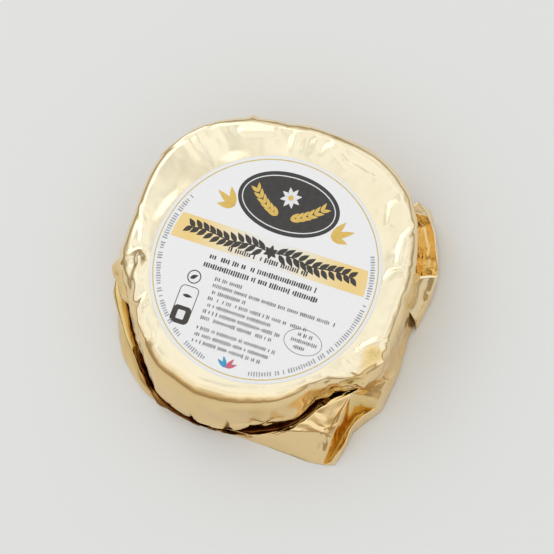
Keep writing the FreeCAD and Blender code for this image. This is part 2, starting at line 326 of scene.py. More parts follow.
# Folds pressed or raised in the foil: the line of each in butter-frame millimetres, its height, below
# zero for a groove, its half width, and whether it is round like a tube or sharp like a crease.
CREASES = [
    ([(-39, -8, 34), (-42, -9, 32), (-45, -12, 29), (-45, -16, 27), (-42, -20, 26)], 2.4, 3.6, True),
    ([(-38, -9, 35), (-38, -13, 34), (-36, -17, 34), (-35, -21, 33)], 1.6, 2.6, True),
    ([(-41, -12, 32), (-39, -16, 31), (-37, -21, 30)], -2.0, 1.7, False),
    ([(-32, -20, 35), (-33, -24, 34), (-31, -28, 33), (-28, -31, 33)], 1.2, 2.4, True),
    ([(-37, -21, 30), (-35, -26, 28), (-32, -31, 26), (-29, -35, 23), (-25, -40, 19)], 1.0, 2.4, True),
    ([(-34, -23, 33), (-32, -29, 31), (-28, -34, 29)], -1.0, 1.5, False),
    ([(-36, -8, 35), (-35, -14, 35)], 0.5, 1.4, False),
    ([(-25, -27, 35), (-24, -33, 34)], 0.4, 1.8, False),
    ([(39, -15, 35), (38, -20, 33), (39, -26, 29)], 1.4, 1.5, False),
    ([(46, -15, 33), (43, -19, 31), (42, -23, 28)], 1.6, 1.8, False),
    ([(43, -14, 34), (41, -20, 32), (38, -26, 31)], -1.6, 2.8, False),
    ([(36, -20, 34), (33, -25, 33), (31, -30, 30)], 0.7, 1.4, False),
    ([(38, 8, 35.5), (40, 12, 35.5), (44, 15, 34.5)], 0.8, 1.6, False),
    ([(40, -13, 35.5), (43, -10, 35), (47, -8, 34)], 0.8, 1.7, False),
    ([(40, 38, 34), (42, 31, 34.5), (40, 24, 35), (41, 16, 35)], 0.7, 1.4, False),
    ([(33, 33, 35.5), (34, 27, 35.5)], 0.35, 2.0, False),
    ([(18, -33, 34.5), (24, -31, 34), (31, -26, 34)], 0.4, 1.2, False),
    ([(-45, 27, 33), (-40, 34, 34.5), (-34, 40, 34.5)], 0.6, 1.6, False),
    ([(-46, 8, 34), (-42, 3, 35.5), (-40, -4, 35.5)], 0.35, 1.8, False),
    ([(8, 46, 35), (14, 42, 35.5), (24, 40, 35.5)], 0.35, 1.6, False),
    ([(-12, 45, 35.5), (-22, 42, 35.5)], 0.3, 1.8, False),
    ([(49, -8, 27), (50, 2, 18), (51, 4, 6)], 0.7, 2.0, False),
    ([(49, 12, 28), (48, 18, 18), (50, 16, 6)], -0.6, 2.2, False),
]


def wall_pleats():
    """Slanting pleats down the walls, where the foil is gathered in round the back and the right."""
    draw = np.random.default_rng(PLEATS_SEED)
    pleats = []
    azimuth = PLEATS_FROM
    while azimuth < PLEATS_TO:
        slant, high, low = draw.uniform(-6, 6), draw.uniform(26, 34), draw.uniform(1, 10)
        line = []
        for share in (0.0, 0.5, 1.0):
            turn = azimuth + slant * share + draw.uniform(-1, 1)
            reach = float(outline(turn)) + 0.6 * share
            angle = radians(turn)
            line.append((reach * cos(angle), reach * sin(angle), high + (low - high) * share))
        rise = draw.choice([-1, 1]) * draw.uniform(0.5, 1.1)
        pleats.append((line, rise, draw.uniform(1.8, 3.6), False))
        azimuth += draw.uniform(6, 15)
    return pleats


def line_distance(grid, line):
    """Distance of each grid point from a line of points."""
    best = np.full(grid.shape[:2], 1e9)
    for start, end in zip(np.array(line[:-1], float), np.array(line[1:], float)):
        run = end - start
        share = np.clip(((grid - start) @ run) / (run @ run), 0, 1)
        best = np.minimum(best, np.linalg.norm(grid - start - share[..., None] * run, axis=-1))
    return best


def pressed(grid):
    """Height of the listed folds at each grid point."""
    height = np.zeros(grid.shape[:2])
    for line, rise, half_width, tube in CREASES + wall_pleats():
        near = np.clip(1 - line_distance(grid, line) / half_width, 0, 1)
        height += rise * (near * near * (3 - 2 * near) if tube else near ** 1.5)
    return height


def groove_share(grid):
    """1 along the middle of the deep listed grooves, falling to 0 at their edges."""
    share = np.zeros(grid.shape[:2])
    for line, rise, half_width, _ in CREASES:
        if rise <= -1.0:
            share = np.maximum(share, np.clip(1.2 - line_distance(grid, line) / half_width, 0, 1))
    return share


def calm(grid):
    """0 where the foil lies flat, under the label and the base, and 1 where it is free."""
    off_label = np.hypot(grid[..., 0] - LABEL_SHIFT[0], grid[..., 1] - LABEL_SHIFT[1]) - LABEL_RADIUS
    on_top = np.clip((off_label - 0.3) / 3.0, 0, 1)
    on_top = np.where(grid[..., 2] < TOP - 1.5, 1.0, on_top)
    return on_top * np.clip((grid[..., 2] - 0.3) / 1.2, 0, 1)


def wall_share(grid):
    """0 on the flat top, rising to 1 down the wall."""
    return np.clip((TOP - 2.5 - grid[..., 2]) / 7.0, 0, 1)


def front_share(grid):
    """1 on the smooth upper roll at the front."""
    return fade(grid_azimuth(grid), *SMOOTH_ROLL) ** 0.5 * np.clip((grid[..., 2] - 25.0) / 4.0, 0, 1)


def facet_depth(grid):
    """How deep the random flats are at each grid point, millimetres."""
    azimuth = grid_azimuth(grid)
    on_wall = wall_share(grid)
    low_front = np.clip((27.0 - grid[..., 2]) / 5.0, 0, 1) * fade(azimuth, *LOW_FRONT)
    depth = 0.42 + 1.0 * on_wall + 0.4 * fade(azimuth, *BACK) * on_wall + 0.3 * low_front
    return depth * (1 - 0.75 * front_share(grid)) * (1 - 0.45 * (fade(azimuth, *RIGHT_WALL) * on_wall))


def excess_and_room(grid):
    """The foil's extra length as a share, and the room it has to buckle into, at each grid point."""
    excess = 0.001 + 0.011 * wall_share(grid)
    room = 0.10 + 0.38 * wall_share(grid)
    for middle, radius, extra, proud in CRUMPLES:
        near = np.exp(-((grid - np.array(middle)) ** 2).sum(-1) / radius ** 2)
        excess = excess + extra * near
        room = room + proud * near
    smooth = 1 - 0.8 * front_share(grid)
    return excess * smooth, room * smooth


def flat_map(grid):
    """The wrap laid flat: how far round, at a mean radius, and how far down the section, in millimetres."""
    rows, columns = grid.shape[:2]
    round_length = 2 * pi * 47.0
    along = np.broadcast_to(np.arange(columns) * round_length / columns, (rows, columns))
    steps = np.linalg.norm(np.diff(grid, axis=0), axis=-1).mean(1)
    down = np.broadcast_to(np.concatenate([[0], np.cumsum(steps)])[:, None], (rows, columns))
    return along, down, round_length


def facets(along, down, round_length, size, draw):
    """Random flats about the given size: a height of -1 to 1 that is linear over each triangle."""
    depth = down.max()
    wide, tall = round(round_length / size), round(depth / size)
    seeds = []
    for i in range(-1, tall + 2):
        for j in range(wide):
            jitter = draw.uniform(-0.45, 0.45, 2)
            across = (j + jitter[0] + 0.5 * (i % 2)) * round_length / wide
            seeds.append((across, (i + jitter[1]) * depth / tall))
    seeds = np.array(seeds)
    value = draw.uniform(-1, 1, len(seeds))
    points, values = [seeds], [value]
    for turn in (-1, 1):
        moved = seeds[:, 0] + turn * round_length
        near = (moved > -3 * size) & (moved < round_length + 3 * size)
        points.append(seeds[near] + (turn * round_length, 0))
        values.append(value[near])
    points, values = np.concatenate(points), np.concatenate(values)
    result = delaunay_2d_cdt([Vector(p) for p in points], [], [], 0, 1e-6)
    corners, triangles, origin = np.array([tuple(v) for v in result[0]]), result[2], result[3]
    values = np.array([values[o[0]] for o in origin])
    height = np.zeros(along.shape)
    row_down, column_along = down[:, 0], along[0]
    for triangle in triangles:
        p, q, r = corners[list(triangle)]
        low, high = np.minimum(np.minimum(p, q), r), np.maximum(np.maximum(p, q), r)
        i0, i1 = np.searchsorted(row_down, low[1]), np.searchsorted(row_down, high[1], side="right")
        j0, j1 = np.searchsorted(column_along, low[0]), np.searchsorted(column_along, high[0], side="right")
        if i0 >= i1 or j0 >= j1:
            continue
        x, y = column_along[None, j0:j1], row_down[i0:i1, None]
        area = (q[0] - p[0]) * (r[1] - p[1]) - (r[0] - p[0]) * (q[1] - p[1])
        if abs(area) < 1e-9:
            continue
        b = ((x - p[0]) * (r[1] - p[1]) - (r[0] - p[0]) * (y - p[1])) / area
        c = ((q[0] - p[0]) * (y - p[1]) - (x - p[0]) * (q[1] - p[1])) / area
        a = 1 - b - c
        inside = (a >= -1e-6) & (b >= -1e-6) & (c >= -1e-6)
        flat = a * values[triangle[0]] + b * values[triangle[1]] + c * values[triangle[2]]
        height[i0:i1, j0:j1] = np.where(inside, flat, height[i0:i1, j0:j1])
    return height


def grid_normals(grid):
    """Outward normals of a grid that is closed round its columns."""
    down = np.gradient(grid, axis=0)
    along = (np.roll(grid, -1, 1) - np.roll(grid, 1, 1)) / 2
    normal = np.cross(down, along)
    return normal / np.maximum(np.linalg.norm(normal, axis=-1, keepdims=True), 1e-9)


def spans(points, rows, columns):
    """The vector from each point to the one that lies rows and columns away."""
    return np.roll(points, -columns, 1)[rows:] - points[:len(points) - rows]


def pull(points, rows, columns, length, share, shortest=False):
    """Moves each pair of points, rows and columns apart, towards its own length."""
    gap = spans(points, rows, columns)
    now = np.linalg.norm(gap, axis=-1)
    error = (now - length) / np.maximum(now, 1e-9) * share
    if shortest:
        error = np.minimum(error, 0)
    move = gap * (error / 2)[..., None]
    points[:len(gap)] += move
    points[rows:] -= np.roll(move, columns, 1)


def buckle(points, base, stretch, room, passes):
    """Relaxes the foil until its lengths are those of the wrap plus the extra length."""
    normal = grid_normals(base)
    links, bends = [], []
    for rows, columns in ((0, 1), (1, 0), (1, 1), (1, -1)):
        length = np.linalg.norm(spans(base, rows, columns), axis=-1)
        links.append((rows, columns, length * (1 + stretch[:len(length)])))
    for rows, columns in ((0, 2), (2, 0)):
        bends.append((rows, columns, np.linalg.norm(spans(base, rows, columns), axis=-1)))
    for _ in range(passes):
        for rows, columns, length in links:
            pull(points, rows, columns, length, 0.45)
        for rows, columns, length in bends:
            pull(points, rows, columns, length * 0.9, 0.10, shortest=True)
        offset = points - base
        proud = (offset * normal).sum(-1)
        held = np.clip(proud, -0.35 * room, room)
        slide = offset - proud[..., None] * normal
        points[:] = base + slide * (1 - SAG) + (held * (1 - SAG * 0.2))[..., None] * normal
    return points


def finer(points, rows, columns):
    """The grid resampled to more rows and columns."""
    old_rows, old_columns = points.shape[:2]
    down = np.linspace(0, old_rows - 1, rows)
    i = np.minimum(down.astype(int), old_rows - 2)
    share = (down - i)[:, None, None]
    points = points[i] * (1 - share) + points[i + 1] * share
    along = np.arange(columns) * old_columns / columns
    j = along.astype(int)
    share = (along - j)[None, :, None]
    return points[:, j % old_columns] * (1 - share) + points[:, (j + 1) % old_columns] * share


def crumple(base):
    """Folds flats and creases into the wrap, then buckles it at three finenesses, coarse folds first."""
    draw = np.random.default_rng(CRUMPLE_SEED)
    along, down, round_length = flat_map(base)
    off_top = wall_share(base)
    relief = (0.75 * facets(along, down, round_length, 16.0, draw)
              + (0.40 + 0.15 * off_top) * facets(along, down, round_length, 8.0, draw)
              + (0.08 + 0.20 * off_top) * facets(along, down, round_length, 4.0, draw))
    relief = (relief * facet_depth(base) + pressed(base) - 0.8 * tuck_share(base)) * calm(base)
    base = base + relief[..., None] * grid_normals(base)
    excess, room = excess_and_room(base)
    excess, room = excess * calm(base), room * calm(base)
    offset = np.zeros(base.shape)
    for step, passes in ((4, 120), (2, 80), (1, 40)):
        coarse = base[::step, ::step]
        start = offset[::step, ::step].copy()
        if step == 4:
            jitter = draw.uniform(-0.2, 0.2, coarse.shape[:2])[..., None]
            start += jitter * grid_normals(coarse) * room[::step, ::step, None]
        points = buckle(coarse + start, coarse, excess[::step, ::step], room[::step, ::step], passes)
        change = points - coarse - start
        offset = offset + (finer(change, *base.shape[:2]) if step > 1 else change)
    return base + offset


def make_foil():
    """The whole wrap as one closed sheet, from the middle of the top to the middle of the base."""
    grid, depth = shell_grid(COLUMNS)
    along, down, round_length = flat_map(grid)
    # Painted shade in random patches down the walls, standing in for flats that reflect darker
    # surroundings.
    flats = facets(along, down, round_length, 7.0, np.random.default_rng(SHADES_SEED))
    depth = depth + 0.20 * np.clip(flats, 0, 1) * wall_share(grid)
    # Painted dark shade in the tucks and along the deep grooves.
    depth = np.maximum(depth, np.maximum(0.85 * tuck_share(grid), 0.55 * groove_share(grid)))
    grid = crumple(grid)
    piece = closed_mesh("foil_wrap", to_frame(grid), *to_frame([[0, 0, TOP], [0, 0, 0]]))
    store_painted_shade(piece, np.append(depth.ravel(), (0, 0)))
    return piece


# ---------------- folded ears
def split_triangles(corners, triangles, parts):
    """Each triangle cut into parts x parts smaller ones, with shared points along shared edges."""
    index, points, faces = {}, [], []

    def place(a, b, c, i, j):
        k = parts - i - j
        weights = {}
        for corner, weight in ((a, i), (b, j), (c, k)):
            if weight:
                weights[corner] = weight
        key = tuple(sorted(weights.items()))
        if key not in index:
            index[key] = len(points)
            points.append(sum(np.array(corners[corner], float) * weight for corner, weight in key) / parts)
        return index[key]

    for a, b, c in triangles:
        for i in range(parts):
            for j in range(parts - i):
                near, right, left = (place(a, b, c, i + m, j + n) for m, n in ((0, 0), (1, 0), (0, 1)))
                faces.append((near, right, left))
                if i + j < parts - 1:
                    faces.append((right, place(a, b, c, i + 1, j + 1), left))
    return points, faces


def folded(name, corners, flaps, shaded, shade, wrinkle, seed):
    """A folded piece of foil from its corner points and its flat flaps, crumpled and given a thickness.

    The corners named in shaded have a painted shade of their own: painted brown shade at the
    bottom of a pocket, next to none where the foil turns up to the light. The others have the walls'
    painted shade.
    """
    names = list(corners)
    triangles = []
    for flap in flaps:
        ids = [names.index(corner) for corner in flap.split()]
        triangles += [(ids[0], ids[k], ids[k + 1]) for k in range(1, len(ids) - 1)]
    marked = [(*corners[key], shade if key in shaded.split() else PAINTED_WALL_SHADE) for key in names]
    points, faces = split_triangles(marked, triangles, 3)
    draw = np.random.default_rng(seed)
    points = np.array(points)
    free = np.clip(points[:, 2:3] / 3.0, 0.15, 1)            # less crumpled close to the base
    points[:, :3] += draw.uniform(-wrinkle, wrinkle, (len(points), 3)) * free
    points, faces = split_triangles(list(points), faces, 4)
    points = np.array(points)
    points[:, 2] = np.maximum(points[:, 2], 0.05)
    piece = make_mesh(name, to_frame(points[:, :3]), faces)
    store_painted_shade(piece, points[:, 3])
    shell = piece.modifiers.new("foil thickness", "SOLIDIFY")
    shell.thickness = FOIL_THICKNESS * MM
    shell.offset = 0.0
    return piece


def front_ear():
    """The pouch pulled out of the front corner: a broad flap, a long mouth and a short spur."""
    corners = {
        "v0": (-1.0, -48.0, 3.2), "v": (9.0, -47.2, 4.8), "v1": (16.6, -44.4, 6.5),
        "r1": (21.5, -42.4, 10.0), "r2": (25.6, -38.2, 13.0), "r3": (29.5, -33.1, 16.0),
        "r4": (33.5, -28.8, 18.5), "apex": (38.4, -26.2, 20.5),
        "s2": (34.3, -37.0, 13.0), "s3": (32.3, -39.6, 11.8),
        "l2": (36.8, -35.4, 16.0), "l3": (35.7, -40.3, 12.0), "l4": (34.5, -46.7, 5.0),
        "bm": (-2.5, -48.4, 0.0), "b0": (15.5, -48.6, 0.0), "b1": (22.9, -48.8, 0.0),
        "b2": (28.9, -49.0, 0.0), "b3": (34.4, -48.3, 0.0),
        "p1": (40.8, -29.5, 7.0), "p2": (38.2, -36.0, 3.5), "p3": (37.4, -40.5, 2.2),
        "p4": (35.9, -46.0, 1.4), "pt": (44.5, -26.8, 9.4),
        "t": (46.9, -24.2, 14.0), "q1": (45.8, -26.2, 10.0), "q2": (42.2, -30.5, 9.0),
        "q3": (40.4, -33.9, 8.0), "q5": (39.7, -40.1, 7.2), "q7": (37.1, -46.8, 3.2),
        "o1": (46.6, -25.0, 0.0), "o2": (42.8, -30.6, 0.0), "o3": (40.0, -35.0, 0.0),
        "o5": (39.5, -41.0, 0.0), "o7": (37.8, -47.2, 0.0),
        "k": (46.4, -16.0, 9.0), "kb": (47.4, -15.5, 0.0), "j": (43.5, -20.5, 24.0),
    }
    flaps = ["v0 bm b0 v", "v b0 v1", "v1 b0 b1 r1", "r1 b1 s3 r2", "b1 b2 s3", "r2 s3 s2 r3",
             "r3 s2 apex r4", "s3 l3 l2 s2", "s2 l2 apex", "b2 b3 l4 s3", "s3 l4 l3",
             "apex l2 p2 p1", "l2 l3 p3 p2", "l3 l4 p4 p3",
             "p1 p2 q3 q2", "p2 p3 q5 q3", "p3 p4 q7 q5", "l4 b3 p4", "b3 o7 q7 p4",
             "apex p1 pt t", "p1 q2 q1 pt", "pt q1 t",
             "q1 q2 o2 o1", "q2 q3 o3 o2", "q3 q5 o5 o3", "q5 q7 o7 o5",
             "t q1 o1", "t o1 kb k", "apex t k j"]
    # The pocket's corners are painted brown as shade.
    return folded("foil_ear_front", corners, flaps, "p1 p2 p3 p4 pt",
                  shade=0.45, wrinkle=0.20, seed=21)


def right_ear():
    """The flap that stands off the right wall, open towards the top."""
    corners = {
        "a": (39.5, 38.2, 30.0), "e1": (43.4, 36.0, 26.5), "e2": (47.0, 31.4, 23.5),
        "e3": (49.6, 24.8, 20.0), "e4": (51.2, 20.4, 15.5), "e5": (50.2, 14.0, 9.0), "e6": (48.6, 5.0, 5.0),
        "h1": (42.5, 39.3, 20.0),
        "i1": (42.0, 33.8, 19.0), "i2": (45.2, 28.2, 15.0), "i3": (46.8, 23.5, 12.0),
        "w0": (37.4, 34.6, 31.0), "w1": (40.8, 29.8, 27.0), "w2": (43.6, 24.0, 23.0),
        "w3": (44.6, 17.2, 17.0), "w4": (45.2, 7.6, 11.0),
        "g0": (39.5, 42.5, 0.0), "g1": (43.6, 37.5, 0.0), "g2": (47.6, 29.8, 0.0), "g3": (49.4, 23.5, 0.0),
        "g4": (49.9, 15.0, 0.0), "g5": (48.2, 4.0, 0.0),
    }
    flaps = ["a h1 g0", "h1 g1 g0", "a e1 h1", "e1 e2 g1 h1", "e2 e3 g2 g1", "e3 e4 g3 g2", "e4 e5 g4 g3",
             "e5 e6 g5 g4", "e1 a w0 i1", "e2 e1 i1 i2", "e3 e2 i2 i3", "i1 w0 w1", "i2 i1 w1", "i2 w1 w2",
             "i3 i2 w2", "i3 w2 w3", "e4 e3 i3", "e4 i3 w3", "e5 e4 w3 w4", "e6 e5 w4"]
    # The inner side is painted with next to no shade, paler than the walls' painted shade.
    return folded("foil_ear_right", corners, flaps, "i1 i2 i3 w0 w1 w2 w3 w4 e1 e2 e3 e4",
                  shade=0.03, wrinkle=0.24, seed=22)


def back_ear():
    """A folded corner lying against the back wall, its foot drawn out."""
    corners = {
        "a": (-27.0, 44.0, 26.0), "b": (-33.0, 41.6, 27.0), "c": (-38.6, 36.6, 25.0),
        "d": (-25.0, 45.6, 12.0), "e": (-35.5, 45.6, 12.5), "f": (-44.6, 34.0, 11.0),
        "g": (-24.5, 46.4, 0.0), "h": (-36.0, 48.0, 0.0), "i": (-43.6, 41.4, 0.0), "j": (-46.6, 31.0, 0.0),
        "k": (-43.0, 29.5, 13.0), "m": (-44.6, 27.0, 0.0), "n": (-40.5, 41.6, 8.0),
    }
    flaps = ["a d e b", "b e f c", "d g h e", "e h i n", "e n f", "n i j f", "c f k", "f j m k"]
    return folded("foil_ear_back", corners, flaps, "", shade=PAINTED_WALL_SHADE, wrinkle=0.14, seed=23)


# ---------------- label and its print
# Print positions are millimetres from the label's centre.
LABEL_COLUMNS = 144
PAPER_DIP = 0.055                            # how far the waves keep the paper under its full height
INK_LIFT = 0.02                              # how far ink stands off the paper
OVER = 2 * INK_LIFT                          # and ink printed over ink
RING_RADIUS, RING_WIDTH = 36.6, 0.38
BAND_LOW, BAND_HIGH, BAND_REACH = 0.9, 9.4, 33.2
GARLAND_UP = 5.5
OVAL_CENTRE, OVAL_WIDE, OVAL_TALL = (0.0, 22.3), 17.2, 10.4
BADGE, PANEL, STAMP, POSY = (-20.7, -9.8), (-20.5, -19.4), (20.0, -18.9), (-0.6, -34.4)
FINE_RING_RADIUS = 34.6


def paper_height(across, up):
    """The label's gentle waves: the height of its upper face."""
    wave = 0.022 * np.sin(0.31 * across + 0.4) * np.cos(0.27 * up + 1.1)
    ripple = 0.008 * np.sin(0.6 * across - 0.45 * up)
    return TOP + LABEL_THICKNESS - PAPER_DIP + (wave + ripple)


def on_label(flat_points, lift=0.0):
    """Points given across and up from the label's centre, laid on the paper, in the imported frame."""
    across, up = np.asarray(flat_points, float).T
    height = paper_height(across, up) + lift
    return to_frame(np.column_stack([across + LABEL_SHIFT[0], up + LABEL_SHIFT[1], height]))


def make_label():
    """The paper disc as a closed thin sheet with a slightly eased edge."""
    angle = np.arange(LABEL_COLUMNS) * 2 * pi / LABEL_COLUMNS
    around = np.column_stack([np.cos(angle), np.sin(angle)])
    rings = [on_label(around * radius) for radius in np.linspace(2.0, LABEL_RADIUS - 0.08, 26)]
    rings.append(on_label(around * LABEL_RADIUS, -0.06))
    for radius in (LABEL_RADIUS, 4.0):
        low = on_label(around * radius)
        low[:, 2] = TOP * MM
        rings.append(low)
    middle = on_label([(0, 0)])[0]
    return closed_mesh("label_sheet", np.stack(rings), middle, (*middle[:2], TOP * MM))


def leaf(root, angle, length, width):
    """Outline of a pointed leaf from its root."""
    along = np.linspace(0, 1, 9)
    half = 0.5 * width * np.sin(pi * along ** 0.8)
    up = np.column_stack([along * length, half])
    down = np.column_stack([along[-2:0:-1] * length, -half[-2:0:-1]])
    flat = np.concatenate([up, down])
    turn = radians(angle)
    spin = np.array([[cos(turn), sin(turn)], [-sin(turn), cos(turn)]])
    return flat @ spin + root


def ellipse(centre, wide, tall, count=64):
    """Outline of an ellipse, or of a circle, from its two half widths."""
    angle = np.arange(count) * 2 * pi / count
    return np.column_stack([np.cos(angle) * wide, np.sin(angle) * tall]) + centre


def rounded_box(centre, wide, tall, corner):
    """Outline of an upright box with rounded corners, with points along its sides too."""
    points = []
    for k, (side, end) in enumerate(((1, 1), (-1, 1), (-1, -1), (1, -1))):
        for step in range(5):
            turn = radians(90 * k + 22.5 * step)
            points.append((side * (wide / 2 - corner) + corner * cos(turn),
                           end * (tall / 2 - corner) + corner * sin(turn)))
    closed = np.array(points + points[:1])
    steps = np.arange(len(points) * 5) / 5
    return np.column_stack([np.interp(steps, np.arange(len(closed)), line) for line in closed.T]) + centre


class Print:
    """Flat printed shapes, gathered into one mesh with an ink for each."""

    def __init__(self):
        self.points, self.faces, self.inks = [], [], []

    def add(self, points, faces, ink, lift=INK_LIFT):
        first = len(self.points)
        self.points += list(on_label(points, lift))
        self.faces += [tuple(first + k for k in face) for face in faces]
        self.inks += [ink] * len(faces)

    def shape(self, outline, ink, lift=INK_LIFT):
        self.add(outline, [tuple(range(len(outline)))], ink, lift)

    def border(self, outline, inner, ink, lift=INK_LIFT):
        count = len(outline)
        faces = [(k, (k + 1) % count, count + (k + 1) % count, count + k) for k in range(count)]
        self.add(np.concatenate([outline, inner]), faces, ink, lift)

    def ring(self, centre, wide, tall, width, ink, lift=INK_LIFT, count=64):
        """An even line, a width thick, inside an ellipse."""
        self.border(ellipse(centre, wide, tall, count), ellipse(centre, wide - width, tall - width, count),
                    ink, lift)

    def band(self, low, high, reach, ink):
        """A band cut off by a circle at both ends."""
        across, rows = 60, 8
        points = []
        for i in range(rows + 1):
            up = low + (high - low) * i / rows
            half = (reach ** 2 - up ** 2) ** 0.5
            points += [(-half + 2 * half * j / across, up) for j in range(across + 1)]
        corners = [i * (across + 1) + j for i in range(rows) for j in range(across)]
        self.add(points, [(k, k + 1, k + across + 2, k + across + 1) for k in corners], ink)


def draw_garland(sheet):
    """Leaves on a wavy stem, out to both ends of the band, and a rosette in its middle."""
    for side in (-1, 1):
        for k in range(11):
            across = side * (2.0 + 2.45 * k)
            up = GARLAND_UP + 0.5 * sin(0.9 * k)
            heading = 0.0 if side > 0 else 180.0
            size = 4.3 - 0.08 * k
            sheet.shape(leaf((across, up), heading + side * 42, size, 1.7), "dark ink", OVER)
            sheet.shape(leaf((across + side * 0.8, up), heading - side * 42, size, 1.7), "dark ink", OVER)
        stem = [(side * (0.8 + 0.6 * k), GARLAND_UP + 0.5 * sin(0.22 * k)) for k in range(46)]
        for (x0, y0), (x1, y1) in zip(stem, stem[1:]):
            strip = [(x0, y0 - 0.2), (x1, y1 - 0.2), (x1, y1 + 0.2), (x0, y0 + 0.2)]
            sheet.shape(strip[::side], "dark ink", OVER)
    for k in range(6):
        sheet.shape(leaf((0, GARLAND_UP), 60 * k + 30, 2.5, 1.3), "dark ink", OVER)


def draw_oval(sheet):
    """A dark oval with a white line, two gold wheat sprigs, a pale flower and amber leaves beside it."""
    rings = 10                                             # so that the oval follows the paper's waves
    for k in range(rings):
        outer, inner = 1 - k / rings, 1 - (k + 1) / rings
        sheet.border(ellipse(OVAL_CENTRE, OVAL_WIDE * outer, OVAL_TALL * outer),
                     ellipse(OVAL_CENTRE, OVAL_WIDE * inner + 0.001, OVAL_TALL * inner + 0.001), "charcoal")
    sheet.ring(OVAL_CENTRE, OVAL_WIDE - 1.3, OVAL_TALL - 1.3, 0.35, "white ink", OVER)
    x, y = OVAL_CENTRE
    for side in (-1, 1):
        for k in range(6):
            root = (x + side * (2.2 + 1.7 * k), y - 4.6 + 0.12 * k * k + 0.5 * k)
            heading = 90 - side * (62 - 4 * k)
            for turn in (26, -26):
                sheet.shape(leaf(root, heading + turn, 3.4, 1.2), "band gold", OVER)
    flower = (x, y + 2.2)
    for k in range(8):
        sheet.shape(leaf(flower, 45 * k + 22, 3.6, 1.5), "white ink", OVER)
    sheet.shape(ellipse(flower, 0.9, 0.9, 20), "band gold", OVER + INK_LIFT)
    for side in (-1, 1):
        for turn, length in ((62, 7.0), (28, 8.0), (-6, 6.0)):
            heading = turn if side > 0 else 180 - turn
            sheet.shape(leaf((side * 16.6, 16.2), heading, length, 2.2), "band gold")


def draw_marks(sheet):
    """The small marks: a leaf in a ring, a rounded panel, an oval outline and a two-coloured posy."""
    sheet.ring(BADGE, 2.3, 2.3, 0.35, "dark ink", count=36)
    sheet.shape(leaf((BADGE[0] - 1.2, BADGE[1] - 0.8), 35, 2.9, 1.3), "dark ink")
    x, y = PANEL
    sheet.border(rounded_box(PANEL, 6.4, 12.8, 1.6), rounded_box(PANEL, 5.9, 12.3, 1.35), "dark ink")
    sheet.shape(rounded_box((x, y - 3.4), 6.0, 5.8, 1.3), "dark ink")
    sheet.shape(rounded_box((x, y - 3.4), 2.6, 3.0, 0.4), "white ink", OVER)
    sheet.shape(leaf((x - 1.7, y + 3.0), 0, 3.4, 1.1), "dark ink")
    sheet.ring(STAMP, 6.3, 4.2, 0.18, "grey ink")
    for heading, ink in ((150, "leaf blue"), (118, "leaf blue"), (30, "leaf pink"), (62, "leaf pink")):
        sheet.shape(leaf(POSY, heading, 3.9, 1.25), ink)


def make_print(inks):
    """All the flat print in one mesh: a thin ring, the garland on its band, the oval and the marks."""
    sheet = Print()
    sheet.ring((0, 0), RING_RADIUS, RING_RADIUS, RING_WIDTH, "ring gold", count=180)
    sheet.band(BAND_LOW, BAND_HIGH, BAND_REACH, "band yellow")
    draw_garland(sheet)
    draw_oval(sheet)
    draw_marks(sheet)
    piece = make_mesh("label_print", sheet.points, sheet.faces, smooth=False)
    names = list(inks)
    for ink in names:
        piece.data.materials.append(inks[ink])
    piece.data.polygons.foreach_set("material_index", [names.index(ink) for ink in sheet.inks])
    return piece


def tick_tree():
    """Small upright marks along the lines of a mesh, some left out at random, as rows of fine print."""
    tree = bpy.data.node_groups.new("rows of ticks", "GeometryNodeTree")
    sockets = {"Geometry": "Geometry", "Spacing": "Float", "Tick width": "Float", "Tick height": "Float",
               "Filled share": "Float", "Seed": "Int", "Ink": "Material"}
    for name, kind in sockets.items():
        tree.interface.new_socket(name, in_out="INPUT", socket_type="NodeSocket" + kind)
    tree.interface.new_socket("Geometry", in_out="OUTPUT", socket_type="NodeSocketGeometry")
    net = Nodes(tree)
    given = net.add("NodeGroupInput").outputs
    curve = net.add("GeometryNodeMeshToCurve", {0: given["Geometry"]})
    spaced = net.add("GeometryNodeResampleCurve", {"Curve": curve.outputs[0], "Length": given["Spacing"]},
                     mode="LENGTH")
    tick = net.add("GeometryNodeMeshGrid", {"Vertices X": 2, "Vertices Y": 2, "Size X": given["Tick width"],
                                            "Size Y": given["Tick height"]})
    heading = net.add("GeometryNodeInputTangent").outputs[0]
    turn = net.add("FunctionNodeAlignRotationToVector", {"Vector": heading}, axis="X", pivot_axis="Z")
    filled = net.add("FunctionNodeRandomValue", {"Probability": given["Filled share"],
                                                 "Seed": given["Seed"]}, data_type="BOOLEAN")
    size = net.add("FunctionNodeRandomValue", {"Min": (0.75, 0.72, 1.0), "Max": (1.1, 1.15, 1.0),
                                               "Seed": given["Seed"]}, data_type="FLOAT_VECTOR")
    place = net.add("GeometryNodeInstanceOnPoints", {
        "Points": spaced.outputs[0], "Instance": tick.outputs["Mesh"], "Rotation": turn.outputs[0],
        "Selection": filled.outputs[3], "Scale": size.outputs[0]})
    real = net.add("GeometryNodeRealizeInstances", {0: place.outputs[0]})
    ink = net.add("GeometryNodeSetMaterial", {"Geometry": real.outputs[0], "Material": given["Ink"]})
    net.add("NodeGroupOutput", {0: ink.outputs[0]})
    return tree


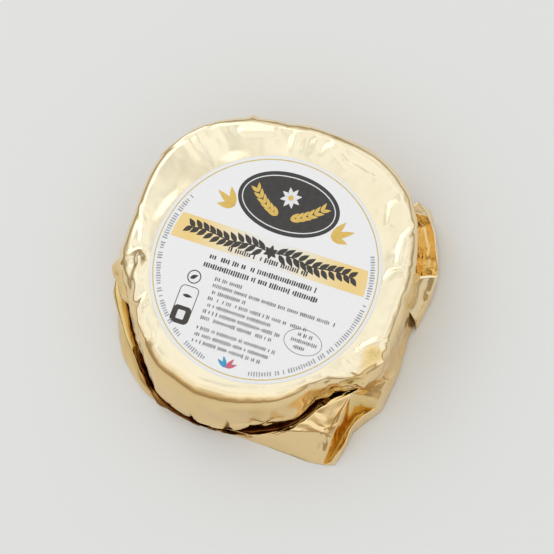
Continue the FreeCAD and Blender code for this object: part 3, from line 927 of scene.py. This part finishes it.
def tick_rows(name, tree, lines, **values):
    """A piece of fine print: the lines, in label millimetres, turned into rows of ticks."""
    points, edges = [], []
    for line in lines:
        first = len(points)
        points += [(x * MM, y * MM, 0.0) for x, y in line]
        edges += [(first + k, first + k + 1) for k in range(len(line) - 1)]
    mesh = bpy.data.meshes.new(name)
    mesh.from_pydata(points, edges, [])
    guide = add_object(name + "_guide", mesh)
    rows = guide.modifiers.new("ticks", "NODES")
    rows.node_group = tree
    sockets = {item.name: item.identifier for item in tree.interface.items_tree if item.in_out == "INPUT"}
    for key, value in values.items():
        rows[sockets[key.replace("_", " ").capitalize()]] = value
    view = bpy.context.evaluated_depsgraph_get()
    done = bpy.data.meshes.new_from_object(guide.evaluated_get(view))
    guide.modifiers.remove(rows)
    bpy.data.objects.remove(guide)
    flat = np.zeros(len(done.vertices) * 3, np.float32)
    done.vertices.foreach_get("co", flat)
    flat = flat.reshape(-1, 3)
    done.vertices.foreach_set("co", on_label(flat[:, :2] / MM, OVER).astype(np.float32).ravel())
    done.update()
    return add_object(name, done)


def arc_line(start, stop):
    """A line of fine print along the label's edge, from one angle to another."""
    angles = np.radians(np.linspace(start, stop, 60))
    return [(FINE_RING_RADIUS * cos(a), FINE_RING_RADIUS * sin(a)) for a in angles]


def make_fine_print(inks):
    """Rows of plain ticks where a label carries its small print."""
    tree = tick_tree()
    bold = [[(-14.0, 2.4), (13.5, 2.4)], [(-18.0, -1.8), (18.0, -1.8)], [(-19.8, -4.8), (19.4, -4.8)]]
    right_ends = [(-8.3, -5.0), (-10.5, 27.5), (-12.7, -1.5), (-14.9, 19.5), (-17.1, 8.0), (-19.3, 12.0),
                  (-21.5, 10.0), (-24.9, 12.5), (-27.1, 11.5), (-29.3, 9.0)]
    small = [[(-13.8, up), (end, up)] for up, end in right_ends]
    for half, up in ((2.2, -16.8), (4.4, -18.9), (2.2, -21.0)):
        small.append([(STAMP[0] - half, up), (STAMP[0] + half, up)])
    ring = [arc_line(154, 256), arc_line(-78, 24)]
    return [
        tick_rows("label_rows_bold", tree, bold, spacing=0.78 * MM, tick_width=0.52 * MM,
                  tick_height=1.6 * MM, filled_share=0.86, seed=3, ink=inks["dark ink"]),
        tick_rows("label_rows_small", tree, small, spacing=0.62 * MM, tick_width=0.36 * MM,
                  tick_height=1.15 * MM, filled_share=0.84, seed=4, ink=inks["grey ink"]),
        tick_rows("label_rows_ring", tree, ring, spacing=0.85 * MM, tick_width=0.45 * MM,
                  tick_height=1.5 * MM, filled_share=0.86, seed=5, ink=inks["pale ink"]),
    ]


# ---------------- materials
PRINT_ROUGHNESS = (0.34, 0.46)               # of paper and ink, over the paper's fibre
INK_GRAIN = 700.0


def new_material(name):
    """A new material, its nodes and the place on the object."""
    material = bpy.data.materials.new(name)
    material.use_nodes = True
    net = Nodes(material.node_tree)
    return material, net, net.add("ShaderNodeTexCoord").outputs["Object"]


def shade(net, **inputs):
    """Ends a material's nodes in its shader, whose inputs are named with _ for a space."""
    named = {name.replace("_", " "): value for name, value in inputs.items()}
    shader = net.add("ShaderNodeBsdfPrincipled", named)
    net.add("ShaderNodeOutputMaterial", {"Surface": shader.outputs["BSDF"]})


def foil_material():
    """Gold foil: patches of a slightly deeper gold, uneven gloss, soft dents and a clear lacquer.

    Painted shade and painted reflection warm and darken the gold by the painted-shade attribute: a deeper
    gold on the walls and orange and brown deep in the folds, where the real foil shows itself again and
    again.
    """
    material, net, place = new_material("gold_foil")
    depth = net.add("ShaderNodeAttribute", attribute_name="painted_fold_shade").outputs["Fac"]
    gold = net.ramp(net.noise(place, 55.0, 2.0), [(0.3, (0.93, 0.81, 0.54)), (0.7, (0.96, 0.85, 0.60))])
    # Colours of the painted shade: none on the top, the walls' deeper gold, then orange and brown in the
    # deepest pockets.
    painted_shade_colour = net.ramp(depth, [(0.0, (1, 1, 1)), (PAINTED_WALL_SHADE, (0.99, 0.86, 0.66)), (0.35, (0.81, 0.69, 0.41)),
                            (0.75, (0.36, 0.21, 0.08)), (1.0, (0.13, 0.05, 0.02))])
    lacquer = net.math("SUBTRACT", 0.9, net.math("MULTIPLY", depth, 5.0))
    dents = net.bump(net.noise(place, 120.0, 1.0), 1.0 * MM, 0.10)
    shade(net, Base_Color=net.multiply(gold, painted_shade_colour), Metallic=1.0, Specular_Tint=(1.0, 0.93, 0.80, 1),
          Roughness=net.greys(net.noise(place, 140.0, 3.0), 0.09, 0.22),
          Coat_Weight=net.math("MAXIMUM", lacquer, 0.0), Coat_Roughness=0.06,
          Normal=net.bump(net.noise(place, 420.0, 1.0), 0.12 * MM, 0.22, Normal=dents))
    return material


def paper_material():
    """Semi-gloss white label paper with a faint fibre."""
    material, net, place = new_material("label_paper")
    fibre = net.noise(place, 900.0, 4.0)
    shade(net, Base_Color=net.greys(fibre, 0.885, 0.915), Roughness=net.greys(fibre, *PRINT_ROUGHNESS),
          Normal=net.bump(fibre, 0.03 * MM, 0.3))
    return material


def ink_material(name, light, dark):
    """Printed ink, a little uneven, from its two shades."""
    material, net, place = new_material(name)
    fibre = net.noise(place, INK_GRAIN, 3.0)
    shade(net, Base_Color=net.ramp(fibre, [(0.35, dark), (0.65, light)]),
          Roughness=net.greys(fibre, *PRINT_ROUGHNESS))
    return material


def band_material():
    """The band's yellow, full at its two ends and gone in the middle."""
    material, net, place = new_material("band_yellow")
    moved = net.add("ShaderNodeMapping", {"Vector": place, "Location": (-LABEL_MIDDLE.x, 0.0, 0.0)})
    across = net.add("ShaderNodeSeparateXYZ", {0: moved.outputs[0]}).outputs["X"]
    share = net.math("DIVIDE", net.math("ABSOLUTE", across, 0.0), BAND_REACH * MM)
    yellows = [(0.12, (0.88, 0.87, 0.84)), (0.45, (0.93, 0.80, 0.50)), (0.80, (0.93, 0.67, 0.24)),
               (0.97, (0.93, 0.70, 0.30))]
    shade(net, Base_Color=net.ramp(share, yellows),
          Roughness=net.greys(net.noise(place, INK_GRAIN, 3.0), *PRINT_ROUGHNESS))
    return material


def make_inks():
    """Every ink of the label by its name, from its lighter and its darker shade."""
    shades = {
        "dark ink": ((0.050, 0.040, 0.030), (0.035, 0.028, 0.022)),
        "charcoal": ((0.045, 0.040, 0.036), (0.030, 0.027, 0.024)),
        "grey ink": ((0.13, 0.125, 0.125), (0.09, 0.085, 0.085)),
        "pale ink": ((0.42, 0.42, 0.43), (0.34, 0.34, 0.35)),
        "white ink": ((0.86, 0.86, 0.87), (0.82, 0.82, 0.83)),
        "ring gold": ((0.72, 0.58, 0.20), (0.64, 0.50, 0.16)),
        "band gold": ((0.80, 0.55, 0.13), (0.74, 0.49, 0.10)),
        "leaf blue": ((0.06, 0.36, 0.62), (0.05, 0.30, 0.55)),
        "leaf pink": ((0.68, 0.14, 0.22), (0.62, 0.11, 0.18)),
    }
    inks = {name: ink_material(name.replace(" ", "_"), *pair) for name, pair in shades.items()}
    inks["band yellow"] = band_material()
    return inks


def floor_material():
    material, net, _ = new_material("pale_floor")
    shade(net, Base_Color=(0.81, 0.815, 0.80, 1), Roughness=0.5)
    return material


# ---------------- pieces
foil = make_foil()
foil.data.materials.append(foil_material())
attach(foil, BODY)
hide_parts("foil_pack")
for ear in (front_ear(), right_ear(), back_ear()):
    ear.data.materials.append(foil.data.materials[0])
    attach(ear, BODY)

label = make_label()
label.data.materials.append(paper_material())
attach(label, BODY)
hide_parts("label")
printing_inks = make_inks()
for printed in [make_print(printing_inks)] + make_fine_print(printing_inks):
    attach(printed, BODY)

# ---------------- floor, light and camera
FLOOR_SIZE = 6.0
CAMERA_AZIMUTH, CAMERA_ELEVATION, CAMERA_ROLL = 49.1, 73.1, 29.8
CAMERA_DISTANCE, CAMERA_LENS, CAMERA_SENSOR = 0.62, 126.3, 36.0
AIM = Vector((-0.0039, 0.0028, 0.0))         # how far the label lies off the middle of the view
LAMP_PLACE, LAMP_SIZE, LAMP_POWER = Vector((-0.9, 0.65, 1.15)), 1.0, 1.6
ROOM_STRENGTH = 1.05

bpy.ops.mesh.primitive_plane_add(size=FLOOR_SIZE, location=(0, 0, 0))
floor = bpy.context.object
floor.name = "floor"
floor.data.materials.append(floor_material())


def add_camera():
    """The camera, looking steeply down from one side and rolled about its own line of sight."""
    azimuth, elevation, roll = (radians(a) for a in (CAMERA_AZIMUTH, CAMERA_ELEVATION, CAMERA_ROLL))
    back = Vector((sin(azimuth) * cos(elevation), -cos(azimuth) * cos(elevation), sin(elevation)))
    right = Vector((0, 0, 1)).cross(back).normalized()
    up = back.cross(right)
    turned_right = right * cos(roll) - up * sin(roll)
    turned_up = right * sin(roll) + up * cos(roll)
    data = bpy.data.cameras.new("camera")
    data.lens = CAMERA_LENS
    data.sensor_width = CAMERA_SENSOR
    camera = add_object("camera", data)
    target = Vector((LABEL_MIDDLE.x, LABEL_MIDDLE.y, label_low.z))
    matrix = Matrix((turned_right, turned_up, back)).transposed().to_4x4()
    matrix.translation = target + back * CAMERA_DISTANCE - turned_right * AIM.x - turned_up * AIM.y
    camera.matrix_world = matrix
    bpy.context.scene.camera = camera


def add_lamp():
    """One broad, weak lamp, aimed at the middle of the part's base."""
    data = bpy.data.lights.new("key", "AREA")
    data.shape = "RECTANGLE"
    data.size, data.size_y = LAMP_SIZE, LAMP_SIZE
    data.energy = LAMP_POWER
    lamp = add_object("key", data)
    lamp.location = LAMP_PLACE
    lamp.rotation_euler = (-LAMP_PLACE).to_track_quat("-Z", "Y").to_euler()


def add_world():
    """A soft white room: bright and a little uneven overhead, warm and dim towards the horizon."""
    world = bpy.data.worlds.new("studio")
    bpy.context.scene.world = world
    world.use_nodes = True
    net = Nodes(world.node_tree)
    place = net.add("ShaderNodeTexCoord").outputs["Generated"]
    up = net.add("ShaderNodeSeparateXYZ", {0: place}).outputs["Z"]
    sway = net.math("MULTIPLY", net.math("SUBTRACT", net.noise(place, 1.6, 1.0), 0.5), 0.5)
    room = net.ramp(net.math("ADD", up, sway), [
        (0.0, (0.32, 0.25, 0.17)), (0.14, (0.38, 0.30, 0.21)), (0.30, (0.52, 0.44, 0.33)),
        (0.45, (0.77, 0.73, 0.66)), (0.60, (1.00, 1.01, 1.02)), (0.78, (0.99, 1.02, 1.06)),
        (0.92, (0.97, 1.00, 1.05))])
    panels = net.ramp(net.noise(place, 4.5, 1.5), [
        (0.36, (0.76, 0.75, 0.73)), (0.48, (0.96, 0.96, 0.96)), (0.62, (1.00, 1.00, 1.01))])
    light = {"Color": net.multiply(room, panels), "Strength": ROOM_STRENGTH}
    background = net.add("ShaderNodeBackground", light)
    net.add("ShaderNodeOutputWorld", {"Surface": background.outputs[0]})


add_camera()
add_world()
add_lamp()
bpy.context.scene.view_settings.view_transform = "Standard"
